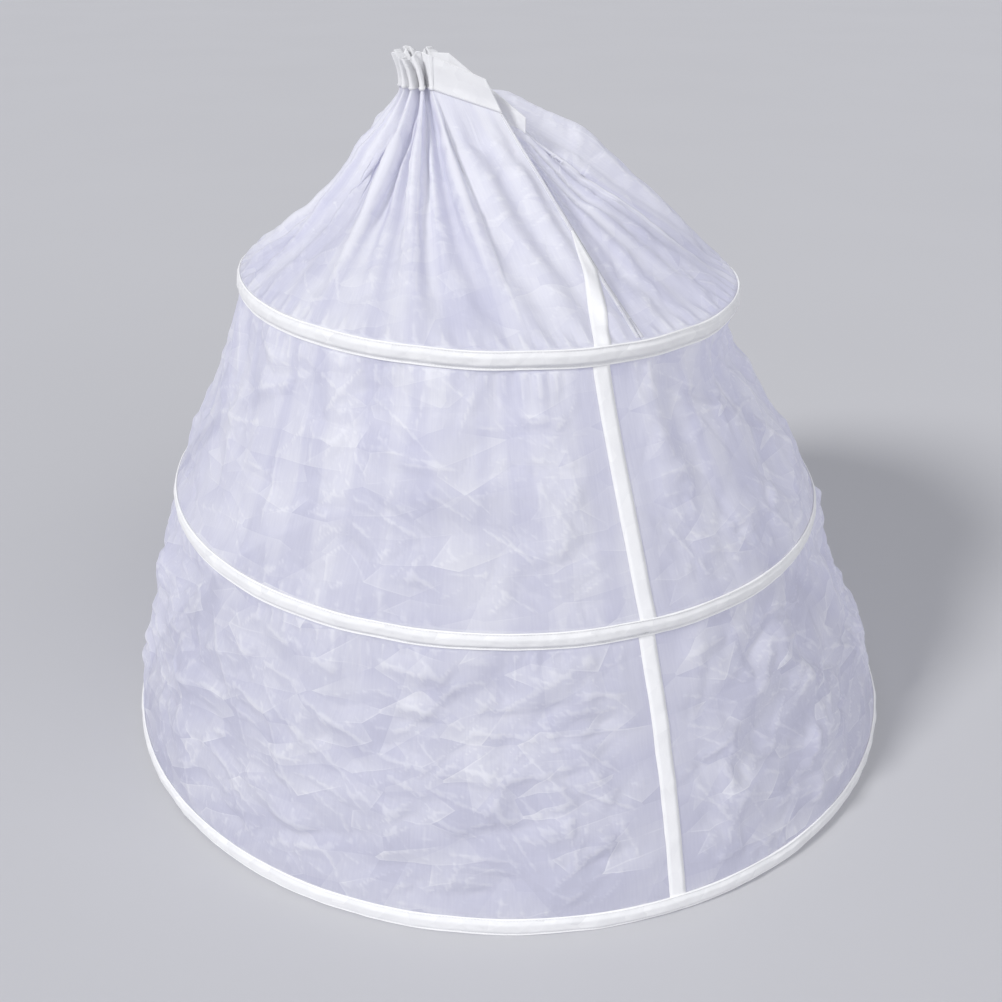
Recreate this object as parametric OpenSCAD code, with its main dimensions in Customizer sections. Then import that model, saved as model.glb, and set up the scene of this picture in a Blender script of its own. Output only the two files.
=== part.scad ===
// Three-hoop crinoline petticoat: a sheer tiered skirt held out by flat steel hoops.
// The waistband is drawn together into a bunch, where it is held up. Its two ends hang out of the
// bunch on the right as smooth runs, one before the other, with the open slit between them.
// Millimetres, +Z up. The origin is the middle of the bunch at the level of the waist seam.
// Azimuths are about a hoop's own centre, in degrees from +X, so 270 is the front.

/* [Hoops] */
// Diameter of the top hoop, at the middle of the steel
top_d = 592; // [550:2:650]
// Diameter of the middle hoop
mid_d = 810; // [740:2:880]
// Diameter of the hem hoop
hem_d = 1000; // [920:2:1150]
// Drop from the waist seam to the middle of the top hoop
top_drop = 214; // [180:1:260]
// Drop from the waist seam to the middle of the middle hoop
mid_drop = 473; // [420:1:540]
// Drop from the waist seam to the hem hoop
hem_drop = 767; // [700:1:880]
// How far the top hoop hangs to the left of the hem hoop
top_shift = 24; // [0:1:40]
// How far the middle hoop hangs to the left of the hem hoop
mid_shift = 17; // [0:1:30]
// Tilt of the top hoop as it hangs, right side down
top_tilt = 1.9; // [0:0.1:4]
// Tilt of the middle hoop as it hangs, right side down
mid_tilt = 1.4; // [0:0.1:4]
// Height of the flat hoop steel
steel_h = 8; // [5:0.5:10]
// Thickness of the coated hoop steel
steel_t = 1.2; // [0.8:0.1:2]
// Gap left between the two ends of a hoop
end_gap = 2; // [1:0.5:5]

/* [Joiners] */
// Length of the sleeve that joins the two ends of a hoop
joiner_len = 40; // [24:1:60]
// Wall of the sleeve
joiner_t = 0.5; // [0.4:0.1:1]
// Clearance between the steel and the sleeve
joiner_fit = 0.1; // [0.05:0.05:0.2]

/* [Channels] */
// Height of the tape channel that carries the top or the middle hoop
channel_h = 21; // [17:0.5:28]
// Height of the hem channel
hem_channel_h = 22; // [17:0.5:28]
// Thickness of the channel tape
channel_t = 0.5; // [0.3:0.1:0.8]
// Clearance round the sleeve inside the channel
pocket_gap = 0.3; // [0.2:0.1:0.6]

/* [Skirt cloth] */
// Thickness of the skirt cloth
cloth_t = 0.5; // [0.3:0.1:0.6]
// Gap between the edges of two tiers, under a channel
butt_gap = 0.4; // [0.2:0.1:1]
// How far the middle tier bellies out between its hoops
middle_belly = -4; // [-10:1:10]
// How far the lower tier bellies out between its hoops
lower_belly = 7; // [0:1:14]
// Number of soft gathers round the middle and lower tiers
gathers = 18; // [12:1:22]
// Depth of those gathers, either way
gather_depth = 5; // [1:0.5:7]
// Depth of the folds that fan out of the waistband, either way
fan_depth = 7; // [1:0.5:10]
// How far the slack cloth of the upper tier domes up at the right
dome = 36; // [10:1:50]
// How far the taut cloth of the upper tier hangs in at the left
left_sag = 24; // [0:1:32]
// How far the cloth falls in behind the slit
slit_dip = 12; // [0:1:25]

/* [Waistband] */
// Height of the folded waistband
band_h = 36; // [28:1:44]
// Thickness of the folded band, over both of its layers
band_t = 1.6; // [1.5:0.1:1.8]
// Thickness of one layer of the band
band_wall = 0.35; // [0.25:0.05:0.4]
// How far the skirt cloth reaches up between the two layers
band_bite = 8; // [5:1:14]
// Number of folds in the bunch
folds = 12; // [10:1:13]
// Radius of the bunch over its folds
bunch_r = 31; // [28:1:36]
// Radius inside the folds of the bunch
bunch_bore_r = 11.5; // [11:0.5:13]
// Distance from the held bunch to the axis of the hem hoop
axis_x = 96; // [70:1:120]
// Length of the smooth run of band before the slit
near_run = 76; // [60:1:90]
// How far the end of that run hangs below the bunch
near_drop = 23; // [10:1:35]
// How far the top of its cut end leans back towards the bunch
near_lean = 18; // [0:1:24]
// Length of the smooth run of band behind the slit
far_run = 88; // [70:1:100]
// How far the end of that run hangs below the bunch
far_drop = 49; // [35:1:60]

/* [Slit and seam tape] */
// Azimuth of the slit where it ends at the top hoop
slit_az = 302; // [300:1:306]
// Azimuth at the top hoop of the cloth from the bunched end of the near run
near_az = 279; // [275:1:282]
// Azimuth at the top hoop of the cloth from the bunched end of the far run
far_az = 350; // [345:1:355]
// Gap between the two edges of the slit where they meet at the top hoop
slit_foot = 1.2; // [0.8:0.1:4]
// Width of the tape over the long seam
seam_w = 19; // [12:0.5:24]
// Thickness of the seam tape
seam_t = 0.4; // [0.2:0.1:0.6]
// Gap between the seam tape and what lies on either side of it
seam_gap = 0.2; // [0.15:0.05:0.3]
// Azimuth of the seam tape at the top hoop
seam_top_az = 293; // [291:0.5:295]
// Azimuth of the seam tape at the middle hoop
seam_mid_az = 293; // [289:0.5:297]
// Azimuth of the seam tape at the hem
seam_hem_az = 291; // [286:0.5:296]
// Where the middle of the tape runs off the edge of the slit, as a share of its length
seam_tip = 0.6; // [0.5:0.05:0.75]

/* [Hidden] */

// The three hoops, from the top down: 0 top, 1 middle, 2 hem
hoop_r = [top_d / 2, mid_d / 2, hem_d / 2];
hoop_z = [-top_drop, -mid_drop, -hem_drop];
hoop_x = [axis_x - top_shift, axis_x - mid_shift, axis_x];
hoop_tilt = [top_tilt, mid_tilt, 0];
tape_h = [channel_h, channel_h, hem_channel_h];
tier_belly = [middle_belly, lower_belly];
seam_az = [seam_top_az, seam_mid_az, seam_hem_az];

// The pocket in a channel is sized for the joiner, which is thicker than the steel
sleeve_grow = joiner_fit + joiner_t;
pocket_t = steel_t + 2 * (sleeve_grow + pocket_gap);
pocket_h = steel_h + 2 * (sleeve_grow + pocket_gap);
function channel_in(k) = hoop_r[k] - pocket_t / 2 - channel_t;
// Outside radius of the cloth behind a channel, with the seam tape between the two
function cloth_r(k) = channel_in(k) - 2 * seam_gap - seam_t;

arc_steps = 8;
cloth_cols = 5 * gathers;
tier_rows = 5;
fan_rows = 7;
far_cols = 4;
// Powers that crowd a tier's rows and gathers, and the fan's rows and slack, towards their upper end
row_crowd = 1.3;
gather_crowd = 0.45;
fan_row_crowd = 1.15;
slack_crowd = 0.75;
// Places within one fold of the bunch, and the share of the fold's depth at each
fold_at = [0, 0.17, 0.27, 0.37, 0.8, 0.9];
fold_out = [1, 1, 0.5, 0, 0, 0.5];
// Folds of the bunch fall short of its radius by up to twice this share
fold_uneven = 0.06;
// Gathers are flat to the first of these degrees from the seam tape, and full from the second
calm_az = [4, 11];
// How far the gathers wander from even spacing, in degrees of a gather, and how much their depth varies
gather_wander = [22, 16];
gather_uneven = 0.28;
// Turns the gathers of one tier against those of the tier above
tier_turn = 70;

function lerp(a, b, t) = a + (b - a) * t;
function clamp(t) = max(0, min(1, t));
function ease(t) = let(c = clamp(t)) c * c * (3 - 2 * c);
function belly(v) = 4 * v * (1 - v);
function unit(v) = v / max(norm(v), 1e-9);
function az_apart(a, b) = let(d = abs(a - b) % 360) min(d, 360 - d);
// A value that runs smoothly round the hoop through [azimuth, value] stations
function station(list, az, i = 0) =
    i >= len(list) - 2 || az <= list[i + 1][0]
        ? lerp(list[i][1], list[i + 1][1], ease((az - list[i][0]) / (list[i + 1][0] - list[i][0])))
        : station(list, az, i + 1);

// A thin cloth solid between two grids of points, outer and inner, both given row by row.
// A closed sheet joins its last column to its first.
module cloth(outer, inner, closed) {
    rows = len(outer);
    cols = len(outer[0]);
    spans = closed ? cols : cols - 1;
    half = rows * cols;
    function o(j, i) = j * cols + i % cols;
    function n(j, i) = half + o(j, i);
    points = [for (grid = [outer, inner]) for (row = grid) for (p = row) p];
    walls = [for (j = [0:rows - 2]) for (i = [0:spans - 1]) each [
        [o(j, i), o(j, i + 1), o(j + 1, i + 1)], [o(j, i), o(j + 1, i + 1), o(j + 1, i)],
        [n(j, i), n(j + 1, i + 1), n(j, i + 1)], [n(j, i), n(j + 1, i), n(j + 1, i + 1)]]];
    rims = [for (i = [0:spans - 1]) each [
        [o(0, i), n(0, i), n(0, i + 1)], [o(0, i), n(0, i + 1), o(0, i + 1)],
        [o(rows - 1, i), n(rows - 1, i + 1), n(rows - 1, i)],
        [o(rows - 1, i), o(rows - 1, i + 1), n(rows - 1, i + 1)]]];
    ends = closed ? [] : [for (j = [0:rows - 2]) each [
        [o(j, 0), o(j + 1, 0), n(j + 1, 0)], [o(j, 0), n(j + 1, 0), n(j, 0)],
        [o(j, cols - 1), n(j + 1, cols - 1), o(j + 1, cols - 1)],
        [o(j, cols - 1), n(j, cols - 1), n(j + 1, cols - 1)]]];
    polyhedron(points, concat(walls, rims, ends), convexity = 10);
}

// A place in the frame of hoop k, which hangs shifted and tilted: radius, azimuth, and height above the hoop
function on_hoop(k, r, az, up) =
    let(x = r * cos(az), tilt = hoop_tilt[k])
    [hoop_x[k] + x * cos(tilt) + up * sin(tilt), r * sin(az), hoop_z[k] - x * sin(tilt) + up * cos(tilt)];

// Middle and lower tiers

// Rows of tier k, which hangs from hoop k: [share of the way down, height from the hoop above, height from
// the hoop below, outside radius, gather weight]
function tier_list(k) =
    let(top = -tape_h[k] / 2,
        bottom = tape_h[k + 1] / 2,
        foot = k == 1 ? channel_t - tape_h[2] / 2 : butt_gap / 2,
        free = [for (j = [1:tier_rows]) pow(j / (tier_rows + 1), row_crowd)])
    concat([[0, -butt_gap / 2, bottom, cloth_r(k), 0], [0, top, bottom, cloth_r(k), 0]],
        [for (v = free) [v, top, bottom, lerp(cloth_r(k), cloth_r(k + 1), v) + tier_belly[k] * belly(v),
            sin(180 * pow(v, gather_crowd))]],
        [[1, top, bottom, cloth_r(k + 1), 0], [1, top, foot, cloth_r(k + 1), 0]]);

// A place on a row of tier k, between the two hoops as they hang
function on_tier(k, row, az, lift) =
    lerp(on_hoop(k, row[3] + lift, az, row[1]), on_hoop(k + 1, row[3] + lift, az, row[2]), row[0]);

// The gathers are uneven round the skirt and die away beside the seam tape
function gather(az, seam, turn) =
    let(wander = gather_wander[0] * sin(2 * az + turn) + gather_wander[1] * sin(5 * az + 2 * turn),
        strength = 1 - gather_uneven * (1 - sin(3 * az + turn)))
    gather_depth * strength * cos(gathers * az + wander)
        * ease((az_apart(az, seam) - calm_az[0]) / (calm_az[1] - calm_az[0]));

module tier(k) {
    rows = tier_list(k);
    function ring(inset) = [for (row = rows) [for (i = [0:cloth_cols - 1])
        let(az = -360 * i / cloth_cols,
            seam = lerp(seam_az[k], seam_az[k + 1], row[0]))
        on_tier(k, row, az, row[4] * gather(az, seam, tier_turn * k) - inset)]];
    color("ghostwhite", 0.7) cloth(ring(0), ring(cloth_t), true);
}

module middle_tier() tier(0);

module lower_tier() tier(1);

// Waistband and upper tier

// Direction in plan from the bunch to the top hoop at an azimuth
function bunch_dir(az) = unit([hoop_x[0] + hoop_r[0] * cos(az), hoop_r[0] * sin(az)]);
// Azimuth at the top hoop of the cloth a given way round the bunch, from the near run to the far run
function bunch_az(way) = lerp(near_az, far_az - 360, way);
// Every fold of a hand-drawn bunch reaches out a little differently
function fold_reach(way) = bunch_r * (1 - fold_uneven * (1 - sin(900 * way + 40)));
function bunch_point(way, share) = bunch_dir(bunch_az(way)) * lerp(bunch_bore_r, fold_reach(way), share);

// The two runs leave the bunch to the right, turned a little to the front
near_turn = -6;
far_turn = -14;
near_start = bunch_point(0, 1);
near_end = near_start + near_run * [cos(near_turn), sin(near_turn)];
far_start = bunch_point(1, 1);
far_end = far_start + far_run * [cos(far_turn), sin(far_turn)];
far_slit_az = slit_az - 360 + slit_foot / hoop_r[0] * 180 / PI;

// Seam tape on the near run: its middle and its half width at v of the way down, as shares across the run
seam_s = (slit_az - seam_top_az) / (slit_az - near_az);
function near_width(v) = lerp(near_run, (slit_az - near_az) * PI / 180 * cloth_r(0), v);
function tape_mid(v) = seam_s * (v - seam_tip) / (1 - seam_tip);
function tape_half(v) = seam_w / 2 / near_width(v);
// Columns of the near run: the edge of the slit, the two edges and the middle of the tape, and one beyond it.
// The tape's edges stay at least these shares inside the edge of the slit.
tape_inset = [0.02, 0.06];
function near_share(v) =
    let(right = max(tape_inset[0], tape_mid(v) - tape_half(v)),
        left = max(tape_inset[1], tape_mid(v) + tape_half(v)))
    [0, right, (right + left) / 2, left, (left + 1) / 2];
near_cols = 5;
tape_cols = [1, 2, 3];

// Columns of the upper tier at v of the way down, from the slit round to the slit:
// [place on the waist line, azimuth at the hoop, fold share from 0 in to 1 out, share of a run from its end,
// drop of the band's end, lean of its top]
function columns(v) = concat(
    [for (s = near_share(v))
        [lerp(near_end, near_start, s), lerp(slit_az, near_az, s), 0.5, s, near_drop, near_lean]],
    [for (k = [0:folds - 1]) for (i = [0:len(fold_at) - 1])
        let(way = (k + fold_at[i]) / folds)
        [bunch_point(way, fold_out[i]), bunch_az(way), fold_out[i], 1, 0, 0]],
    [for (i = [0:far_cols]) let(s = 1 - i / far_cols)
        [lerp(far_end, far_start, s), lerp(far_slit_az, far_az - 360, s), 0.5, s, far_drop, 0]]);
waist = columns(0);
column_count = len(waist);

// Left-hand normal of the waist line at a column, lengthened at corners so that both edges stay parallel
function waist_normal(i) =
    let(here = waist[i][0],
        before = waist[max(i - 1, 0)][0],
        after = waist[min(i + 1, column_count - 1)][0],
        a = unit(i > 0 ? here - before : after - here),
        b = unit(i < column_count - 1 ? after - here : here - before),
        na = [-a[1], a[0]],
        nb = [-b[1], b[0]])
    (na + nb) / (1 + na * nb);

// Where a column of cloth leaves the waist seam
function seam_point(c) = [c[0][0], c[0][1], -c[4] * (1 - c[3])];
// A place on the band: out across the waist line, and up from the waist seam
function on_band(i, across, up) =
    let(c = waist[i], n = waist_normal(i))
    seam_point(c) + [across * n[0] - c[5] * (1 - c[3]) * up / band_h, across * n[1], up];

// How the cloth leaves a straight line between band and hoop, at each azimuth from the slit round to the slit
slack = [[slit_az - 360, -slit_dip], [far_az - 360, 0], [20, dome], [80, dome / 2], [130, 0],
    [180, -left_sag], [235, -left_sag / 2], [near_az, 0], [slit_az, 0]];
// The slack lies off the line at this angle from upright, most of it in the upper half
fan_tilt = 45;
function fan_belly(v) = sin(180 * pow(clamp(v), slack_crowd));

// Middle surface of the upper tier on a column, v of the way from the waist seam to the top channel
function fan_point(c, v) =
    let(az = c[1],
        foot = on_hoop(0, cloth_r(0) - cloth_t / 2, az, tape_h[0] / 2),
        out = [cos(az) * sin(fan_tilt), sin(az) * sin(fan_tilt), cos(fan_tilt)],
        fold = fan_depth * (2 * c[2] - 1) * belly(v) * (1 - v))
    lerp(seam_point(c), foot, v) + out * (fan_belly(v) * station(slack, az) + fold);

// One row of the upper tier, lifted outwards off its middle surface
slope_step = 0.01;
function fan_row(v, lift) =
    let(cols = columns(v),
        here = [for (c = cols) fan_point(c, v)],
        above = [for (c = cols) fan_point(c, v - slope_step)])
    [for (i = [0:column_count - 1])
        v == 1 ? on_hoop(0, cloth_r(0) - cloth_t / 2 + lift, cols[i][1], tape_h[0] / 2)
            : here[i] + lift * unit(cross(here[min(i + 1, column_count - 1)] - here[max(i - 1, 0)],
                here[i] - above[i]))];

fan_v = [for (j = [1:fan_rows]) pow(j / fan_rows, fan_row_crowd)];
function fan_hem(lift, up) = [for (c = columns(1)) on_hoop(0, cloth_r(0) - cloth_t / 2 + lift, c[1], up)];
function fan_sheet(lift) = concat(
    [for (up = [band_bite, 0]) [for (i = [0:column_count - 1]) on_band(i, lift, up)]],
    [for (v = fan_v) fan_row(v, lift)],
    [fan_hem(lift, butt_gap / 2)]);

module upper_tier() {
    color("ghostwhite", 0.7) cloth(fan_sheet(cloth_t / 2), fan_sheet(-cloth_t / 2), false);
}

// A strip folded over lengthwise: up the inside, over the fold on top and down the outside,
// with a tunnel between its layers
function band_face(half, top) = [for (place = [[-half, 0], [-half, top], [half, top], [half, 0]])
    [for (i = [0:column_count - 1]) on_band(i, place[0], place[1])]];

module waistband() {
    tunnel = band_face(band_t / 2 - band_wall, band_h - band_wall);
    color("white") cloth(band_face(band_t / 2, band_h), tunnel, false);
}

// Hoops, joiners and channels

// Turns a section drawn as [out from the axis, up from hoop k] about the axis of the hoops
module turn_about_hoop(k, from = 0, sweep = 360) {
    translate([hoop_x[k], 0, hoop_z[k]]) rotate([0, hoop_tilt[k], 0]) rotate([0, 0, from])
        rotate_extrude(angle = sweep, $fn = 180) children();
}

function arc_angle(k, length) = length / hoop_r[k] * 180 / PI;

module steel_section(k, grow = 0) {
    t = steel_t + 2 * grow;
    h = steel_h + 2 * grow;
    translate([hoop_r[k] - t / 2, -h / 2]) square([t, h]);
}

// A flat spring-steel strip with its ends left just apart at the long seam
module hoop(k) {
    gap = arc_angle(k, end_gap);
    color("gainsboro") turn_about_hoop(k, seam_az[k] + gap / 2, 360 - gap) steel_section(k);
}

module top_hoop() hoop(0);

module middle_hoop() hoop(1);

module hem_hoop() hoop(2);

module joiner(k) {
    sweep = arc_angle(k, joiner_len);
    color("silver") turn_about_hoop(k, seam_az[k] - sweep / 2, sweep) difference() {
        steel_section(k, sleeve_grow);
        steel_section(k, joiner_fit);
    }
}

module top_joiner() joiner(0);

module middle_joiner() joiner(1);

module hem_joiner() joiner(2);

// Tape sewn along both edges to make a pocket for the hoop: flat against the skirt, rounded outside.
// The puff leaves one tape thickness outside the corners of the pocket.
module channel(k) {
    h = tape_h[k];
    edge = channel_in(k) + 2 * channel_t;
    puff = pocket_t / (1 - pow(pocket_h / h, 2));
    color("white") turn_about_hoop(k) difference() {
        polygon(concat([[channel_in(k), h / 2], [channel_in(k), -h / 2]],
            [for (i = [-arc_steps:arc_steps]) let(up = i / arc_steps)
                [edge + puff * (1 - up * up), up * h / 2]]));
        translate([hoop_r[k] - pocket_t / 2, -pocket_h / 2]) square([pocket_t, pocket_h]);
    }
}

module top_channel() channel(0);

module middle_channel() channel(1);

module hem_channel() channel(2);

// Seam tape

// Rows of the upper tier that the tape reaches
tape_v = [for (v = fan_v) if (tape_mid(v) + tape_half(v) > 0) v];
function tape_fan(lift) = [for (v = tape_v) let(row = fan_row(v, lift)) [for (i = tape_cols) row[i]]];

// Rows of the tape down tier k, outside the cloth, and a little way behind the hem channel
function tape_tier(k, lift) = [for (row = tier_list(k)) if (k == 0 || row[2] > 0)
    let(az = lerp(seam_az[k], seam_az[k + 1], row[0]), half = asin(seam_w / 2 / row[3]))
    [for (side = [1, 0, -1]) on_tier(k, row, az + side * half, lift)]];

function tape_sheet(lift) = concat(tape_fan(lift + cloth_t / 2), tape_tier(0, lift), tape_tier(1, lift));

module seam_tape() {
    color("white") cloth(tape_sheet(seam_gap + seam_t), tape_sheet(seam_gap), false);
}

waistband();
upper_tier();
middle_tier();
lower_tier();
top_channel();
middle_channel();
hem_channel();
top_hoop();
middle_hoop();
hem_hoop();
top_joiner();
middle_joiner();
hem_joiner();
seam_tape();
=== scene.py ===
"""Looks of a three-hoop crinoline petticoat: sheer tiers, tape channels, a gathered band and a seam tape."""

import math

import bpy
import numpy as np
from bpy.props import FloatProperty, FloatVectorProperty, IntProperty, PointerProperty
from bpy.types import Operator, Panel, PropertyGroup
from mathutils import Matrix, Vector


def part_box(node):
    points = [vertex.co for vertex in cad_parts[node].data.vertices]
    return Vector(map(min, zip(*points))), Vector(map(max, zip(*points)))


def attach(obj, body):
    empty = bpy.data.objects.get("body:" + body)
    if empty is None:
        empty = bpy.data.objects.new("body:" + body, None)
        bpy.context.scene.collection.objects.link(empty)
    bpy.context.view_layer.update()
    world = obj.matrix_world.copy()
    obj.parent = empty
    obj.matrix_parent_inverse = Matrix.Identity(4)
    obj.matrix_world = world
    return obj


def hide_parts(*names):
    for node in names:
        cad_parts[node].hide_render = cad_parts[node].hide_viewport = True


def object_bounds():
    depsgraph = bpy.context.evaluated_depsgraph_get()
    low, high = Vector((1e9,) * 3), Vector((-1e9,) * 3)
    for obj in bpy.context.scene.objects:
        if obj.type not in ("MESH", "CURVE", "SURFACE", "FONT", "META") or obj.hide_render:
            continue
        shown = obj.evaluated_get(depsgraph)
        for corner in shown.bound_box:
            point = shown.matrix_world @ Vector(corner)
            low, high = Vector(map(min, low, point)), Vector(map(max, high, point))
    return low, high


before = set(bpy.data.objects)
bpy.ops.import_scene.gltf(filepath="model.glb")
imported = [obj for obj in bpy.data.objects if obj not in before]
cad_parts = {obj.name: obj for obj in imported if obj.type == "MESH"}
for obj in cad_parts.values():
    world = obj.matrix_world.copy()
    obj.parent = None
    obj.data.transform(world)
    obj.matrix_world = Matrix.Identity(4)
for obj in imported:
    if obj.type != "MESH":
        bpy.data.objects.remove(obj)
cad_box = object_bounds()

bl_info = {
    "name": "Crinoline Petticoat",
    "version": (1, 0, 0),
    "blender": (4, 5, 0),
    "location": "View3D > Sidebar > Crinoline",
    "description": "Dresses a three-hoop petticoat with sheer cloth, tape, stitching and a plain stage",
    "category": "Object",
}

BODY = "root"
HOOPS = ("top", "middle", "hem")
STEEL_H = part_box("hem_hoop")[1].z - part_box("hem_hoop")[0].z
FULL_TURN = 2 * math.pi

# Sheets that later pieces lie on, and finishes that several pieces share, kept by name as they are made
made_sheets = {}
made_finishes = {}


def metres(name, about, default):
    return FloatProperty(name=name, description=about, default=default, unit="LENGTH")


def degrees(name, about, default):
    return FloatProperty(name=name, description=about, default=math.radians(default), subtype="ANGLE")


def tint(name, about, default):
    return FloatVectorProperty(name=name, description=about, default=default, subtype="COLOR", min=0, max=1)


def fraction(name, about, default):
    return FloatProperty(name=name, description=about, default=default, subtype="FACTOR", min=0, max=1)


class PetticoatSizes(PropertyGroup):
    """Sizes of the cloth, the band and the stitching."""

    cloth_inset: metres("Cloth inset", "How far the cloth lies inside the middle of a hoop's steel", 0.0029)
    gathers: IntProperty(
        name="Gathers", description="Soft gathers round the middle and lower tiers", default=18)
    ripple_w: metres("Ripple width", "Half the distance from one ripple under a channel to the next", 0.030)
    gather_depth: metres("Gather depth", "Depth of those gathers, either way", 0.005)
    crumple: FloatProperty(
        name="Crumple", description="Depth of the sharp creases left from packing, as a share of full depth",
        default=1.0, subtype="FACTOR")
    dome: metres("Dome", "How far the slack upper tier stands up at the right", 0.036)
    left_sag: metres("Left sag", "How far the taut upper tier hangs in at the left", 0.024)
    slit_dip: metres("Slit dip", "How far the cloth falls in behind the slit", 0.012)
    band_h: metres("Band height", "Height of the folded waistband", 0.036)
    band_t: metres("Band thickness", "Thickness of the folded band", 0.0018)
    folds: IntProperty(name="Folds", description="Folds in the bunched band", default=12)
    bunch_r: metres("Bunch radius", "Radius of the bunch over its folds", 0.031)
    bunch_bore: metres("Bunch bore", "Radius inside the folds of the bunch", 0.0115)
    near_run: metres("Near run", "Length of smooth band before the slit", 0.076)
    near_drop: metres("Near drop", "How far that run's end hangs below the bunch", 0.023)
    near_lean: metres("Near lean", "How far the top of its cut end leans back", 0.018)
    far_run: metres("Far run", "Length of smooth band behind the slit", 0.088)
    far_drop: metres("Far drop", "How far that run's end hangs below the bunch", 0.049)
    slit_az: degrees("Slit", "Azimuth of the foot of the slit", 302)
    near_az: degrees("Near cloth", "Azimuth below the bunched end of the near run", 279)
    far_az: degrees("Far cloth", "Azimuth below the bunched end of the far run", -10)
    seam_w: metres("Seam tape", "Width of the tape over the long seam", 0.019)
    stitch_pitch: metres("Stitch pitch", "Distance from one stitch to the next", 0.0034)


class PetticoatFinish(PropertyGroup):
    """Colours and sheerness."""

    sheer: tint("Sheer cloth", "Colour of the tiers", (0.96, 0.96, 1.0))
    fold: tint("Sheer shade", "Colour of the facets that turn from the light", (0.77, 0.77, 0.92))
    tape: tint("Tape", "Colour of the channels and the seam tape", (0.98, 0.98, 1.0))
    band: tint("Band", "Colour of the waistband", (0.97, 0.97, 0.99))
    steel: tint("Hoop coating", "Colour of the coated hoops", (0.80, 0.80, 0.82))
    joiner: tint("Joiners", "Colour of the metal sleeves", (0.55, 0.56, 0.58))
    floor: tint("Floor", "Colour of the plain floor", (0.58, 0.58, 0.60))
    opacity: fraction("Opacity", "Share of the view that the threads of the sheer cloth stop", 0.69)
    glow: fraction("Glow", "Share of the sheer cloth's light that comes through from behind", 0.3)


# Places on the petticoat


class Ring:
    """A hoop as it hangs: centre, radius, tilt, seam and tape, read from the boxes of its nodes."""

    def __init__(self, name):
        low, high = (np.array(corner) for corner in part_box(f"{name}_hoop"))
        self.name = name
        self.centre = (low + high) / 2
        self.radius = (high[1] - low[1]) / 2
        self.tilt = math.asin((high[2] - low[2] - STEEL_H) / 2 / self.radius)
        joiner = sum(np.array(corner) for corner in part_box(f"{name}_joiner")) / 2 - self.centre
        self.seam = math.atan2(joiner[1], joiner[0]) % FULL_TURN
        tape_low, tape_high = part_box(f"{name}_channel")
        self.outside = (tape_high.y - tape_low.y) / 2
        self.tape = tape_high.z - tape_low.z - 2 * self.outside * math.sin(self.tilt)

    def place(self, radius, az, up):
        """Points at a radius, azimuth and height above the hoop, as it hangs."""
        x, y, up = np.broadcast_arrays(radius * np.cos(az), radius * np.sin(az), up)
        sine, cosine = math.sin(self.tilt), math.cos(self.tilt)
        return self.centre + np.stack([x * cosine + up * sine, y, up * cosine - x * sine], -1)


RINGS = {name: Ring(name) for name in HOOPS}


def ease(t):
    t = np.clip(t, 0, 1)
    return t * t * (3 - 2 * t)


def mix(a, b, t):
    return a + (b - a) * t


def unit(vectors):
    return vectors / np.maximum(np.linalg.norm(vectors, axis=-1, keepdims=True), 1e-12)


def apart(az, other):
    """Angle between two azimuths, the short way round."""
    return np.abs((az - other + math.pi) % FULL_TURN - math.pi)


def steps_along(points):
    """Distances from each point of a row to the next."""
    return np.linalg.norm(np.diff(points, axis=0), axis=1)


def through(stations, az):
    """A value that runs smoothly round the hoop through (degrees, value) stations."""
    at = np.radians([s[0] for s in stations])
    values = np.array([s[1] for s in stations])
    i = np.clip(np.searchsorted(at, az) - 1, 0, len(at) - 2)
    return mix(values[i], values[i + 1], ease((az - at[i]) / (at[i + 1] - at[i])))


# Waves in a swell, how their lengths spread about its size, and about how far their sum reaches
WAVES = 7
WAVE_SPREAD = (0.6, 1.5)
WAVE_REACH = 2.6


def swell(points, size, seed):
    """Smooth random waves about size apart, mostly between -1 and 1."""
    rng = np.random.default_rng(seed)
    ways = unit(rng.normal(size=(WAVES, 3))) * FULL_TURN / size * rng.uniform(*WAVE_SPREAD, (WAVES, 1))
    return np.sin(points @ ways.T + rng.uniform(0, FULL_TURN, WAVES)).sum(-1) / WAVE_REACH


def uneven(points, size, seed):
    """A share about 0.6 that rises and falls smoothly over the cloth."""
    return 0.6 + 0.4 * swell(points, size, seed)


def patchy(points, size, seed):
    """A share that fades to 0 in some places and reaches 1 in others."""
    return np.clip(0.5 + swell(points, size, seed), 0, 1)


def tents(along):
    """A zigzag that goes from -1 to 1 and back over each two units."""
    return 1 - 2 * np.abs(along % 2 - 1)


def beside_edge(distance, start, fade):
    """0 at an edge of cloth, rising over start and then fading away."""
    return ease(distance / start) * np.exp(-distance / fade)


def creases(points, size, seed, sets):
    """Sharp folds about size apart that come and go over the cloth, mostly between -1 and 1."""
    rng = np.random.default_rng(seed)
    total = np.zeros(points.shape[:-1])
    for k in range(sets):
        way = unit(rng.normal(size=3))
        along = points @ way / size + 0.35 * swell(points, 4 * size, seed + 10 * k + 1)
        total += tents(along) * patchy(points, 5 * size, seed + 10 * k + 2)
    return total / math.sqrt(sets)


# Sheets of cloth

# Bend over one grid step, as a share of the step, that counts as a full ridge
FULL_BEND = 0.16


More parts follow.
